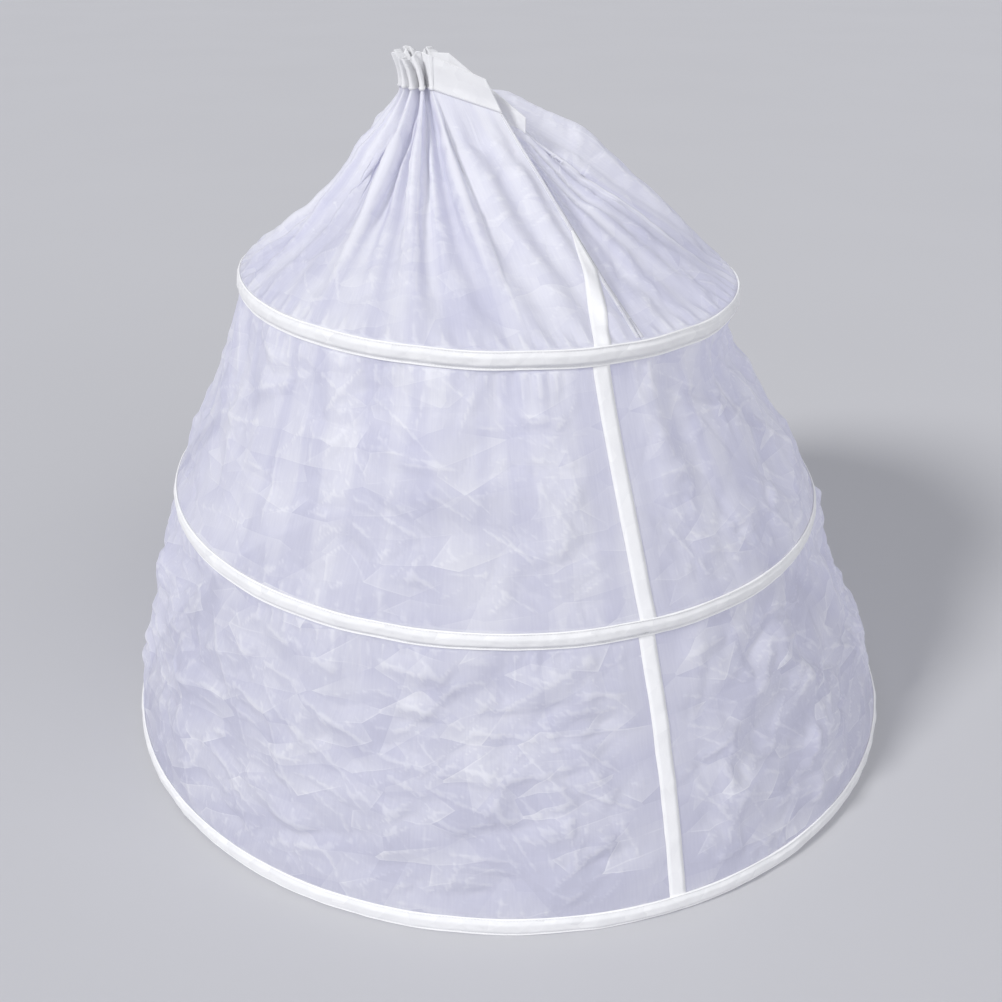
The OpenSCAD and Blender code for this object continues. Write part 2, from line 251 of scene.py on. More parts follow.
class Sheet:
    """A sheet as a grid of points, row by row from its upper edge, with azimuth rising along a row.

    A closed sheet joins its last column to its first, and a tube its last row to its first. Gathered is how
    closely the cloth is drawn together at each point, from 0 to 1.
    """

    def __init__(self, name, grid, closed=False, tube=False):
        self.name = name
        self.grid = grid
        self.closed = closed
        self.tube = tube
        self.gathered = np.zeros(grid.shape[:2])

    def beside(self, axis):
        """The points before and after each point along an axis."""
        wraps = self.tube if axis == 0 else self.closed
        before, after = np.roll(self.grid, 1, axis), np.roll(self.grid, -1, axis)
        if not wraps:
            row = [slice(None)] * 3
            for edge, moved in ((0, before), (-1, after)):
                row[axis] = edge
                moved[tuple(row)] = self.grid[tuple(row)]
        return before, after

    def normals(self):
        above, below = self.beside(0)
        left, right = self.beside(1)
        return unit(np.cross(below - above, right - left))

    def displace(self, depth):
        """Moves every point out along its normal."""
        self.grid = self.grid + self.normals() * depth[..., None]

    def ridges(self):
        """How sharply the cloth bends at each point: 1 on a ridge, 0.5 where flat, 0 in a valley."""
        around = (*self.beside(0), *self.beside(1))
        pull = ((sum(around) / 4 - self.grid) * self.normals()).sum(-1)
        spacing = sum(np.linalg.norm(p - self.grid, axis=-1) for p in around) / 4
        return np.clip(0.5 - pull / np.maximum(spacing, 1e-6) / FULL_BEND, 0, 1)

    def at(self, row, col):
        """Points and normals at fractional rows and columns."""
        rows, cols = self.grid.shape[:2]
        row = np.clip(row, 0, rows - 1.001)
        col = np.mod(col, cols) if self.closed else np.clip(col, 0, cols - 1.001)
        j, i = row.astype(int), col.astype(int)
        s, t = (row - j)[..., None], (col - i)[..., None]
        k = (i + 1) % cols
        fields = (self.grid, self.normals())
        spot, normal = (mix(mix(g[j, i], g[j, k], t), mix(g[j + 1, i], g[j + 1, k], t), s) for g in fields)
        return spot, unit(normal)

    def wide(self):
        """The grid, with its first column once more after its last where the sheet is closed."""
        return np.concatenate([self.grid, self.grid[:, :1]], 1) if self.closed else self.grid

    def lengths(self):
        """Cloth coordinates in metres: along the rows and down the columns."""
        tall = np.concatenate([self.grid, self.grid[:1]]) if self.tube else self.grid
        across = np.linalg.norm(np.diff(self.wide(), axis=1), axis=2).max(0)
        down = np.linalg.norm(np.diff(tall, axis=0), axis=2).mean(1)
        return np.append(0, np.cumsum(across)), np.append(0, np.cumsum(down))

    def edge(self, row):
        """Length of a row."""
        return float(steps_along(self.wide()[row]).sum())

    def area(self):
        """Area of one side of the sheet."""
        grid = self.wide()
        one, two = grid[1:, 1:] - grid[:-1, :-1], grid[1:, :-1] - grid[:-1, 1:]
        return float(np.linalg.norm(np.cross(one, two), axis=-1).sum() / 2)

    def build(self):
        """Makes the sheet's object, with cloth coordinates as a UV map, and its ridges and gathering."""
        rows, cols = self.grid.shape[:2]
        steps = rows if self.tube else rows - 1
        spans = cols if self.closed else cols - 1
        j, i = np.meshgrid(np.arange(steps), np.arange(spans), indexing="ij")
        n, k = (j + 1) % rows, (i + 1) % cols
        faces = np.stack([j * cols + i, n * cols + i, n * cols + k, j * cols + k], -1).reshape(-1, 4)
        across, down = self.lengths()
        corner_u = np.stack([across[i], across[i], across[i + 1], across[i + 1]], -1)
        corner_v = np.stack([down[j], down[j + 1], down[j + 1], down[j]], -1)
        corners = np.stack([corner_u, corner_v], -1).reshape(-1, 2)
        ends = []
        if self.tube and not self.closed:
            ring = np.arange(rows) * cols
            ends = [ring.tolist(), (ring[::-1] + cols - 1).tolist()]
            corners = np.concatenate([corners, np.zeros((2 * rows, 2))])
        piece = mesh_piece(self.name, self.grid.reshape(-1, 3), faces.tolist() + ends, corners)
        for name, values in (("ridge", self.ridges()), ("gathered", self.gathered)):
            field = piece.data.attributes.new(name, "FLOAT", "POINT")
            field.data.foreach_set("value", values.astype(np.float32).ravel())
        return piece


def slab(name, spot, normal, low, high):
    """A closed strip of cloth or tape between two heights off a surface, with columns along its length."""
    outer, inner = spot + normal * high, spot + normal * low
    return Sheet(name, np.concatenate([outer, inner[::-1]]), tube=True)


def mesh_piece(name, points, faces, corner_uv=None):
    """A new smooth object from points and faces, already in place."""
    mesh = bpy.data.meshes.new(name)
    mesh.from_pydata(points.tolist(), [], faces)
    if corner_uv is not None:
        layer = mesh.uv_layers.new(name="cloth")
        layer.data.foreach_set("uv", corner_uv.astype(np.float32).ravel())
    mesh.shade_smooth()
    piece = bpy.data.objects.new(name, mesh)
    bpy.context.scene.collection.objects.link(piece)
    return piece


def finish_piece(piece, material, slot, *nodes):
    """Gives a finished piece its material and its body, and hides the nodes it stands for."""
    piece.data.materials.append(material)
    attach(piece, BODY)
    if nodes:
        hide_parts(*nodes)
    return piece


# Middle and lower tiers

# Columns round each tier and rows down it, depth of its creases as a share, and depth of its ripples
TIER_COLS = {"middle": 700, "lower": 860}
TIER_ROWS = {"middle": 84, "lower": 92}
TIER_CRUMPLE = {"middle": 0.75, "lower": 1.2}
TIER_RIPPLE = {"middle": 0.0045, "lower": 0.0018}
TIER_SEED = {"middle": 7, "lower": 19}
# How closely each tier is drawn together at its upper edge and at its lower edge
TIER_DRAWN = {"middle": (0.44, 0.26), "lower": (0.16, 0.0)}
# The gathers of the solids: how far up the tier they are deepest, how one tier's are turned against the
# other's, how far they sway from even spacing, and how much their depth varies
GATHER_CROWD = 0.45
TIER_TURN = {"middle": 0.0, "lower": math.radians(70)}
GATHER_SWAY = (math.radians(22), math.radians(16))
GATHER_UNEVEN = 0.28
# Rows at each end of a tier that lie behind a channel, and how near the last comes to the middle of its tape
# or, at the hem, to its lower edge
HIDDEN_ROWS = 3
EDGE_GAP = 0.0003
HEM_GAP = 0.0006
# How far the tiers stand off a straight line between their hoops, by azimuth in degrees
BELLY = {
    "middle": [(0, -0.004), (40, 0.0), (150, -0.010), (200, -0.010), (270, -0.004), (315, 0.0),
               (360, -0.004)],
    "lower": [(0, 0.003), (90, 0.006), (180, 0.005), (270, 0.007), (360, 0.003)],
}
# How far the slack cloth hangs in below the upper hoop at the right, where that is deepest, how far round it
# goes, how level it is about its deepest place, from 1 up, and the peak of its course down the tier
HANG = {"middle": 0.027, "lower": 0.0}
HANG_AT = math.radians(-12)
HANG_ROUND = math.radians(58)
HANG_LEVEL = 1.15
HANG_PEAK = 0.25 * 0.75 ** 3
# Beside the seam the cloth is calm: share of depth left there, and how far it takes to come back
SEAM_CALM = 0.12
CALM_REACH = 0.06
# How far from its channels the cloth is held flat
HELD_REACH = 0.03
# Ripples below a channel and puckers at both edges: where they start, how far they fade, width and depth
RIPPLE_START, RIPPLE_FADE = 0.012, 0.12
PUCKER_START, PUCKER_FADE_TOP, PUCKER_FADE_FOOT = 0.006, 0.022, 0.018
PUCKER_W, PUCKER_DEPTH = 0.011, 0.0022


def row_shares(rows, crowd=1.0):
    """How far down a tier each of its rows is, with those that lie behind its edges."""
    free = np.linspace(0, 1, rows + 2)[1:-1] ** crowd
    return np.concatenate([[0] * HIDDEN_ROWS, free, [1] * HIDDEN_ROWS])


def tier_grid(name, above, below, sizes, share, az):
    """The smooth form of a tier, straight but for its belly and where it hangs in, and its radius."""
    hem = below.name == "hem"
    lap = [EDGE_GAP, above.tape / 4, above.tape / 2]
    tail = [below.tape / 2, 0 if hem else below.tape / 4, HEM_GAP - below.tape / 2 if hem else EDGE_GAP]
    others = len(share) - HIDDEN_ROWS
    up_above = -np.append(lap, [lap[-1]] * others)[:, None]
    up_below = np.append([tail[0]] * others, tail)[:, None]
    belly = through(BELLY[name], az % FULL_TURN) * 4 * share * (1 - share)
    beside = ease(HANG_LEVEL - apart(az, HANG_AT) / HANG_ROUND)
    hang = HANG[name] * beside * share * (1 - share) ** 3 / HANG_PEAK
    radius = mix(above.radius, below.radius, share) - sizes.cloth_inset + belly - hang
    from_above, from_below = above.place(radius, az, up_above), below.place(radius, az, up_below)
    return mix(from_above, from_below, share[..., None]), radius


def tier_sheet(name, above, below, sizes):
    """One tier between two hoops: gathered at its channels, creased all over and calm beside the seam."""
    seed = TIER_SEED[name]
    share = row_shares(TIER_ROWS[name])[:, None]
    step = np.linspace(0, FULL_TURN, TIER_COLS[name], endpoint=False)
    az = step + above.seam + (below.seam - above.seam) * share
    grid, radius = tier_grid(name, above, below, sizes, share, az)
    sheet = Sheet(f"{name}_tier_cloth", grid, closed=True)
    height = np.linalg.norm(grid[-HIDDEN_ROWS, 0] - grid[HIDDEN_ROWS, 0])
    from_top, from_foot = share * height, (1 - share) * height
    calm = mix(SEAM_CALM, 1, ease((apart(step, 0) * radius - 0.7 * sizes.seam_w) / CALM_REACH))
    held = ease(from_top / HELD_REACH) * ease(from_foot / HELD_REACH)
    arc = step * (above.radius + below.radius) / 2
    wander = swell(grid, 0.3, seed + 1)
    ripple = np.sin(arc / sizes.ripple_w * math.pi + 1.6 * wander) * uneven(grid, 0.5, seed + 2)
    ripple = ripple * beside_edge(from_top, RIPPLE_START, RIPPLE_FADE)
    pucker = tents(arc / PUCKER_W + 1.2 * wander) * patchy(grid, 0.12, seed + 3)
    at_top = beside_edge(from_top, PUCKER_START, PUCKER_FADE_TOP)
    pucker = pucker * (at_top + 0.6 * beside_edge(from_foot, PUCKER_START, PUCKER_FADE_FOOT))
    gathered = gather(sizes, az, TIER_TURN[name]) * np.sin(math.pi * share ** GATHER_CROWD)
    creasing = crumple(sheet, seed, CREASE_LIE[name]) * held
    depth = sizes.gather_depth * gathered + TIER_RIPPLE[name] * ripple + PUCKER_DEPTH * pucker
    depth = depth + TIER_CRUMPLE[name] * sizes.crumple * creasing
    sheet.displace(depth * calm * (share > 0) * (share < 1))
    sheet.gathered[:] = mix(*TIER_DRAWN[name], share)
    return sheet


def gather(sizes, az, turn):
    """The soft gathers round a tier, uneven in spacing and depth, from -1 to 1."""
    wander = GATHER_SWAY[0] * np.sin(2 * az + turn) + GATHER_SWAY[1] * np.sin(5 * az + 2 * turn)
    return (1 - GATHER_UNEVEN * (1 - np.sin(3 * az + turn))) * np.cos(sizes.gathers * az + wander)


# Packing creases, large then small: how many to the square metre, lengths, widths and slopes
CREASES = ((300, (0.10, 0.30), (0.020, 0.046), (0.05, 0.15)),
           (1100, (0.04, 0.14), (0.007, 0.018), (0.10, 0.28)))
# How much more the creases of each tier lie across the cloth than down it
CREASE_LIE = {"upper": 0.6, "middle": 1.2, "lower": 2.0}
# How far a crease bows to either side, and how much wider or narrower one side of it is than the other
CREASE_BOW = 0.4
CREASE_SIDES = (0.6, 1.6)


def crumple(sheet, seed, lie):
    """Depth of packed-cloth creasing: straight folds, each sharp along its line and fading to its ends."""
    rng = np.random.default_rng(seed)
    grid, normals = sheet.grid, sheet.normals()
    rows, cols = grid.shape[:2]
    row_w = np.linalg.norm(np.diff(grid, axis=1), axis=-1).mean(1)
    row_h = np.linalg.norm(np.diff(grid, axis=0), axis=-1).mean()
    area = sheet.area()
    depth = np.zeros((rows, cols))
    for density, lengths, widths, slopes in CREASES:
        for _ in range(int(density * area)):
            j, i = rng.choice(rows, p=row_w / row_w.sum()), rng.integers(cols)
            along = unit(np.cross(normals[j, i], rng.normal(size=3) * (1, 1, lie)))
            side = np.cross(normals[j, i], along)
            length, width = rng.uniform(*lengths) / 2, rng.uniform(*widths)
            height = width * rng.uniform(*slopes) * rng.choice((-1, 1))
            reach = int((length + width) / row_h) + 1
            js = np.arange(max(0, j - reach), min(rows, j + reach + 1))
            reach = min(cols // 2, int((length + width) / row_w[js].min()) + 1)
            found = np.arange(i - reach, i + reach + 1)
            found = found % cols if sheet.closed else found[(found >= 0) & (found < cols)]
            patch = np.ix_(js, found)
            away = grid[patch] - grid[j, i]
            t = away @ along / length
            d = away @ side / width + rng.uniform(-CREASE_BOW, CREASE_BOW) * t * t
            d = np.abs(d * np.where(d > 0, rng.uniform(*CREASE_SIDES), 1))
            depth[patch] += height * np.clip(1 - d, 0, 1) * np.clip(1 - t * t, 0, 1)
    return depth


# Waist line: the far run, the bunch and the near run of the band, by rising azimuth of the cloth below

FAR_COLS, FOLD_COLS, NEAR_COLS = 90, 40, 80
NEAR_TURN, FAR_TURN = math.radians(-6), math.radians(-14)
SLIT_GAP = 0.0012
# One fold of the bunch: places along it and how far out it reaches there
FOLD_AT = (0, 0.17, 0.27, 0.37, 0.8, 0.9, 1)
FOLD_OUT = (1, 1, 0.5, 0, 0, 0.5, 1)
# How far out the smooth runs lie, on that scale, and how much of its height the far run has lost at its end
RUN_OUT = 0.5
FAR_SLUMP = 0.45
# Share of the bunch over which it loosens from the smooth runs
LOOSE_AFTER = 0.06
# How far the top of the bunch leans to the left, and how near its folds come together there
BUNCH_LEAN = 0.010
BUNCH_CLOSE = 0.72
# How uneven the folds of the bunch are in their reach and in their height
REACH_UNEVEN = 0.06
HEIGHT_UNEVEN = 0.13


class Waist:
    """The line along which the upper tier is sewn into the band, one entry for each column of cloth."""

    def __init__(self, sizes):
        start_near, start_far = self.bunch(sizes, 0.0, 1.0), self.bunch(sizes, 1.0, 1.0)
        end_near = start_near + sizes.near_run * np.array([math.cos(NEAR_TURN), math.sin(NEAR_TURN)])
        end_far = start_far + sizes.far_run * np.array([math.cos(FAR_TURN), math.sin(FAR_TURN)])
        far_slit = sizes.slit_az - FULL_TURN + SLIT_GAP / RINGS["top"].radius
        f = np.linspace(0, 1, FAR_COLS, endpoint=False)
        far = mix(end_far, start_far, f[:, None]), mix(far_slit, sizes.far_az, f), 0 * f + RUN_OUT, f, 0 * f
        way = np.linspace(1, 0, sizes.folds * FOLD_COLS, endpoint=False)
        out = ease(np.interp(way * sizes.folds % 1, FOLD_AT, FOLD_OUT))
        bunch = self.bunch(sizes, way, out), mix(sizes.near_az, sizes.far_az, way), out, 0 * way + 1, way
        n = np.linspace(1, 0, NEAR_COLS)
        near_az = mix(sizes.slit_az, sizes.near_az, n)
        near = mix(end_near, start_near, n[:, None]), near_az, 0 * n + RUN_OUT, n, 0 * n
        parts = zip(far, bunch, near)
        self.place, self.az, self.out, self.share, self.way = (np.concatenate(p) for p in parts)
        counts = [len(f), len(way), len(n)]
        self.drop = np.repeat([sizes.far_drop, 0, sizes.near_drop], counts)
        self.lean = np.repeat([0, 0, sizes.near_lean], counts)
        self.slump = np.repeat([FAR_SLUMP, 0, 0], counts)
        self.loose = np.repeat([0, 1, 0], counts) * ease(self.way / LOOSE_AFTER)
        self.loose = self.loose * ease((1 - self.way) / LOOSE_AFTER)
        ahead = unit(np.gradient(self.place, axis=0))
        self.normal = np.stack([ahead[:, 1], -ahead[:, 0]], 1)

    @staticmethod
    def bunch(sizes, way, out):
        """A place in the bunch, a given way round from the near run to the far run."""
        top = RINGS["top"]
        az = mix(sizes.near_az, sizes.far_az, way)
        toward = top.centre[:2] + np.stack([np.cos(az), np.sin(az)], -1) * top.radius
        wave = np.sin(np.radians(900 * way + 40))
        reach = sizes.bunch_r * (1 - REACH_UNEVEN + REACH_UNEVEN * wave)
        return unit(toward) * np.expand_dims(mix(sizes.bunch_bore, reach, out), -1)

    def seam(self):
        """The points of the waist seam."""
        return np.column_stack([self.place, -self.drop * (1 - self.share)])

    def on_band(self, sizes, across, up):
        """A row of points on the band: out across the waist line, and up from the waist seam."""
        high = up / sizes.band_h
        soft = self.loose * high
        lean = -self.lean * (1 - self.share) * high - BUNCH_LEAN * soft * high
        ragged = HEIGHT_UNEVEN * self.loose * np.sin(25 * self.way + 1)
        rise = up * (1 + ragged - self.slump * (1 - self.share))
        round_place = unit(self.place) * sizes.bunch_r * BUNCH_CLOSE
        flat = mix(self.place, round_place, 0.5 * soft[:, None]) + self.normal * across
        return np.column_stack([flat[:, 0] + lean, flat[:, 1], rise - self.drop * (1 - self.share)])


# Upper tier: rows down it and how they crowd to the band, how far it reaches up into the band, the way its
# slack and its folds stand out, and the depth of those folds
UPPER_ROWS = 118
UPPER_CROWD = 1.1
BITE = 0.008
FAN_TILT = math.radians(45)
FAN_FOLD = 0.007
UPPER_SEED = 41
# Width and depth of the rays that spread from the band, their share of depth on the far side, width and
# depth of the puckers above the top channel, and depth of the creases as a share
RAY_W, RAY_DEPTH, RAYS_BEHIND = 0.027, 0.0045, 0.35
FAN_PUCKER_W, FAN_PUCKER_DEPTH = 0.012, 0.0018
FAN_CRUMPLE = 0.45
# Share of depth left at the edges of the slit, and how many degrees it takes to come back
SLIT_CALM, SLIT_REACH = 0.2, 6
# How closely the cloth is drawn together at the top channel and at the band
FAN_DRAWN = (0.4, 1)


def fan_grid(sizes, waist, shares):
    """The smooth form of the upper tier, from inside the band down to behind the top channel."""
    top = RINGS["top"]
    slit, near, far = (math.degrees(a) for a in (sizes.slit_az, sizes.near_az, sizes.far_az))
    slack = through([
        (slit - 360, -sizes.slit_dip), (far, 0), (20, sizes.dome), (80, sizes.dome / 2), (130, 0),
        (180, -sizes.left_sag), (235, -sizes.left_sag / 2), (near, 0), (slit, 0)], waist.az)
    radius = top.radius - sizes.cloth_inset
    foot = top.place(radius, waist.az, top.tape / 2)
    flat, upright = math.sin(FAN_TILT), 0 * waist.az + math.cos(FAN_TILT)
    out = np.column_stack([np.cos(waist.az) * flat, np.sin(waist.az) * flat, upright])
    rows = [waist.on_band(sizes, 0, up) for up in (BITE, BITE / 2, 0)]
    for v in shares[HIDDEN_ROWS:-HIDDEN_ROWS]:
        belly = math.sin(math.pi * v ** 0.75)
        fold = FAN_FOLD * (2 * waist.out - 1) * 4 * v * (1 - v) ** 2
        rows.append(mix(waist.seam(), foot, v) + out * (belly * slack + fold)[:, None])
    rows += [top.place(radius, waist.az, up) for up in (top.tape / 2, top.tape / 4, EDGE_GAP)]
    return np.array(rows)


def upper_sheet(sizes):
    """The upper tier, which fans out of the band and opens in a slit at the right."""
    waist = Waist(sizes)
    v = row_shares(UPPER_ROWS, UPPER_CROWD)[:, None]
    grid = fan_grid(sizes, waist, v[:, 0])
    sheet = Sheet("upper_tier_cloth", grid)
    az, slit = np.degrees(waist.az), math.degrees(sizes.slit_az)
    arc = waist.az * (RINGS["top"].radius - sizes.cloth_inset)
    held = ease(v * 5) * ease((1 - v) * 9)
    wander = swell(grid, 0.35, UPPER_SEED)
    rays = np.sin(arc / RAY_W * math.pi + 1.5 * wander) * uneven(grid, 0.4, UPPER_SEED + 2)
    far_side = mix(RAYS_BEHIND, 1, ease((az - 40) / 50))
    spread = ease(v / 0.35) * ease((1 - v) * 14) * far_side
    pucker = tents(arc / FAN_PUCKER_W + wander) * ease((1 - v) * 60) * ease(1 - (1 - v) * 9)
    aside = ease((slit - az) / SLIT_REACH) * ease((az - slit + 360) / SLIT_REACH)
    depth = RAY_DEPTH * rays * spread + FAN_PUCKER_DEPTH * pucker
    depth = depth + FAN_CRUMPLE * sizes.crumple * crumple(sheet, UPPER_SEED, CREASE_LIE["upper"]) * held
    sheet.displace(depth * mix(SLIT_CALM, 1, aside))
    sheet.gathered[:] = mix(*FAN_DRAWN, (1 - v) ** 1.5)
    return sheet


# Materials

# Colour of the world's light, its strength, and that of the backdrop where it is seen
SKY_COLOUR = (0.9, 0.92, 1.0, 1)
SKY_LIGHT = 0.4
BACKDROP = 0.6


class Value:
    """A number socket of a finish, with Python's operators as Math nodes."""

    def __init__(self, finish, socket):
        self.finish = finish
        self.socket = socket

    def math(self, operation, *others):
        sockets = dict(enumerate((self, *others)))
        return self.finish.add("ShaderNodeMath", {"operation": operation}, sockets)("Value")

    def __add__(self, other):
        return self.math("ADD", other)

    def __mul__(self, other):
        return self.math("MULTIPLY", other)

    def __sub__(self, other):
        return self.math("SUBTRACT", other)

    def __rsub__(self, other):
        return (self * -1.0) + other

    __radd__ = __add__
    __rmul__ = __mul__

    def clamp(self):
        return self.finish.add("ShaderNodeClamp", {}, {"Value": self})("Result")

    def steps(self, low, high):
        """0 below low, 1 above high and smooth between."""
        return self.finish.add("ShaderNodeMapRange", {"interpolation_type": "SMOOTHSTEP"},
                               {"Value": self, "From Min": low, "From Max": high})("Result")


class Finish:
    """The nodes of a material, or of the world."""

    def __init__(self, owner):
        owner.use_nodes = True
        self.tree = owner.node_tree
        self.tree.nodes.clear()

    def add(self, kind, settings, sockets):
        """Adds a node with its settings and its sockets' values or links. Calling it gives an output."""
        node = self.tree.nodes.new(kind)
        for name, value in settings.items():
            setattr(node, name, value)
        for name, value in sockets.items():
            if isinstance(value, Value):
                self.tree.links.new(value.socket, node.inputs[name])
            else:
                node.inputs[name].default_value = value
        return lambda output: Value(self, node.outputs[output])

    def cloth_at(self):
        """Cloth coordinates in metres: the whole vector, across and down."""
        vector = self.add("ShaderNodeUVMap", {"uv_map": "cloth"}, {})("UV")
        parts = self.add("ShaderNodeSeparateXYZ", {}, {"Vector": vector})
        return vector, parts("X"), parts("Y")

    def point_value(self, name):
        """A value that the sheet holds at each of its points."""
        return self.add("ShaderNodeAttribute", {"attribute_name": name}, {})("Fac")

    def here(self):
        return self.add("ShaderNodeTexCoord", {}, {})("Object")

    def noise(self, vector, size, detail=2.0, flat=False):
        return self.add("ShaderNodeTexNoise", {"noise_dimensions": "2D" if flat else "3D"}, {
            "Vector": vector, "Scale": 1 / size, "Detail": detail})("Fac")

    def threads(self, along, pitch):
        """Rounded threads side by side, from 0 between them to 1 on top."""
        return (along * (math.pi / pitch)).math("SINE").math("ABSOLUTE")

    def colour(self, low, high, share):
        return self.add("ShaderNodeMix", {"data_type": "RGBA"}, {
            "Factor": share, 6: (*low, 1), 7: (*high, 1)})(2)

    def vectors(self, operation, *values):
        return self.add("ShaderNodeVectorMath", {"operation": operation}, dict(enumerate(values)))

    def facets(self, vector, size, turn, stretch):
        """Places among random flat facets about size across, longer along the way that they are turned."""
        return self.add("ShaderNodeMapping", {"vector_type": "TEXTURE"}, {
            "Vector": vector, "Rotation": (0, 0, turn), "Scale": (size, size / stretch, 1)})("Vector")

    def facet_edges(self, places):
        """Distance in from the edges of the facets, as a share of their size."""
        kind = {"voronoi_dimensions": "2D", "feature": "DISTANCE_TO_EDGE"}
        return self.add("ShaderNodeTexVoronoi", kind, {"Vector": places, "Scale": 1.0})("Distance")

    def facet_shading(self, places):
        """Painted light and shade about 0.5 that runs evenly across each facet, as light falls on a tilted
        facet, and jumps at its edges.
        """
        kind = {"voronoi_dimensions": "2D", "feature": "F1"}
        cell = self.add("ShaderNodeTexVoronoi", kind, {"Vector": places, "Scale": 1.0})
        lean = self.vectors("SUBTRACT", cell("Color"), (0.5, 0.5, 0.5))("Vector")
        off = self.vectors("SUBTRACT", places, cell("Position"))("Vector")
        slope = self.vectors("DOT_PRODUCT", off, lean)("Value")
        own = self.add("ShaderNodeRGBToBW", {}, {"Color": cell("Color")})("Val")
        return slope * 1.4 + own * 0.6 + 0.2

    def bump(self, height):
        """Normals of a surface that is raised by a height in metres."""
        return self.add("ShaderNodeBump", {}, {"Height": height, "Distance": 1.0, "Strength": 1.0})("Normal")

    def principled(self, sockets):
        return self.add("ShaderNodeBsdfPrincipled", {}, sockets)("BSDF")

    def output(self, kind, shader):
        self.add(kind, {}, {"Surface": shader})


def brighter(colour, factor):
    return tuple(min(1.0, c * factor) for c in colour)


# About how far the sheer cloth's colour lies from its shade to its light, taken over the whole
MEAN_SHADE = 0.5
# From one thread of the sheer cloth to the next, and the scale of cloth coordinates that draws streaks out
# down the cloth
THREAD_PITCH = 0.0007
UPRIGHT = (1.0, 0.1, 1.0)
# Facets of painted light and shade between fine creases: their width, the way they are turned, and width as
# a share of length
LARGE_FACETS = (0.070, 0.6, 0.55)
SMALL_FACETS = (0.027, 1.4, 0.33)
TAPE_FACETS = (0.016, 0.9, 0.6)


def sheer_cloth(finish, colours):
    """Thin crisp woven cloth that lets light and sight through, denser along its creases, with painted light
    and shade on its facets and gathers and painted highlights along its creases.
    """
    vector, across, down = finish.cloth_at()
    weave = finish.threads(across, THREAD_PITCH) * finish.threads(down, THREAD_PITCH)
    long_way = finish.vectors("MULTIPLY", vector, UPRIGHT)("Vector")
    streak = finish.noise(long_way, 0.0025, 0.0, True)
    # Large and small: painted light and shade of the crumpled facets
    large = finish.facet_shading(finish.facets(vector, *LARGE_FACETS))
    small_at = finish.facets(vector, *SMALL_FACETS)
    small = finish.facet_shading(small_at)
    broken = finish.noise(vector, 0.045, 0.0, True).steps(0.40, 0.60)
    ridge = finish.point_value("ridge")
    drawn = finish.point_value("gathered")
    slack = 1 - drawn
    # Crease lines, partly denser cloth and partly painted highlight: lighter and more solid along the
    # facets' edges, on the ridges and a little in the valleys
    edge = (1 - finish.facet_edges(small_at).steps(0.0, 0.05)) * small.steps(0.46, 0.72)
    line = 0.38 * edge * broken * slack * slack
    line = (line + 0.40 * ridge.steps(0.56, 1.0) + 0.12 * (1 - ridge.steps(0.0, 0.40))).clamp()
    # Painted light and shade of the gathers: light and dark upright bands where the cloth is drawn together
    gather_band_mask = finish.noise(long_way, 0.05, 1.0, True).steps(0.40, 0.60)
    gather_shade = (gather_band_mask - 0.5) * drawn.math("MINIMUM", 0.44)
    # Tone: painted facet shading and painted gather shading, with streaks in the weave, from the shade
    # colour towards the lit colour
    tone = (large * 0.42 + small * 0.7 - 0.56) * slack + gather_shade * 1.1 + streak * 0.2 + 0.17
    shade = (tone + line + drawn * 0.5).clamp()
    solid = (weave * 0.05 + line * 0.2 + tone * 0.16 + drawn * 0.3 + (colours.opacity - 0.1)).clamp()
    cloth = finish.principled({
        "Base Color": finish.colour(colours.fold, colours.sheer, shade), "Roughness": 0.5, "Alpha": solid,
        "Normal": finish.bump(weave * 0.00006 + streak * 0.00012),
        "Sheen Weight": 0.15, "Sheen Roughness": 0.4, "Specular IOR Level": 0.35})
    through_light = [mix(low, high, MEAN_SHADE) for low, high in zip(colours.fold, colours.sheer)]
    behind = finish.add("ShaderNodeBsdfTranslucent", {}, {"Color": (*through_light, 1)})("BSDF")
    return finish.add("ShaderNodeMixShader", {}, {0: colours.glow, 1: cloth, 2: behind})("Shader")


def woven_tape(finish, colour, pitch, wrinkle, opacity):
    """Close plain weave with small pressed wrinkles and painted light and shade on their facets, a little
    sheer where it lies single.
    """
    vector, across, down = finish.cloth_at()
    weave = finish.threads(across, pitch) * finish.threads(down, pitch)
    # Painted light and shade on the facets of the tape's wrinkles
    tone = finish.facet_shading(finish.facets(vector, *TAPE_FACETS))
    soft = finish.noise(finish.here(), 0.010, 1.0)
    doubled = finish.point_value("gathered")
    shade = (weave * 0.15 + tone * 0.35 + soft * 0.15 + doubled * 0.6).clamp()
    return finish.principled({
        "Base Color": finish.colour(brighter(colour, 0.93), brighter(colour, 1.06), shade), "Roughness": 0.7,
        "Alpha": ((tone * 0.4 + doubled) * (1 - opacity) + opacity).clamp(),
        "Normal": finish.bump(weave * 0.0001 + soft * wrinkle),
        "Sheen Weight": 0.15, "Sheen Roughness": 0.5, "Specular IOR Level": 0.25})


def coated_steel(finish, colour):
    """Smooth paint on steel with a faint fine unevenness and small scuffs."""
    here = finish.here()
    scuff = finish.noise(here, 0.004, 4.0).steps(0.6, 0.75)
    return finish.principled({
        "Base Color": finish.colour(colour, brighter(colour, 0.75), scuff), "Roughness": scuff * 0.25 + 0.3,
        "Normal": finish.bump(finish.noise(here, 0.0015) * 0.00004)})


def joiner_metal(finish, colour):
    """Bare pressed metal, a little dulled and uneven."""
    here = finish.here()
    dull = finish.noise(here, 0.006, 4.0)
    return finish.principled({
        "Base Color": finish.colour(brighter(colour, 0.8), brighter(colour, 1.1), dull), "Metallic": 1.0,
        "Roughness": dull * 0.3 + 0.25, "Normal": finish.bump(finish.noise(here, 0.0008) * 0.00003)})


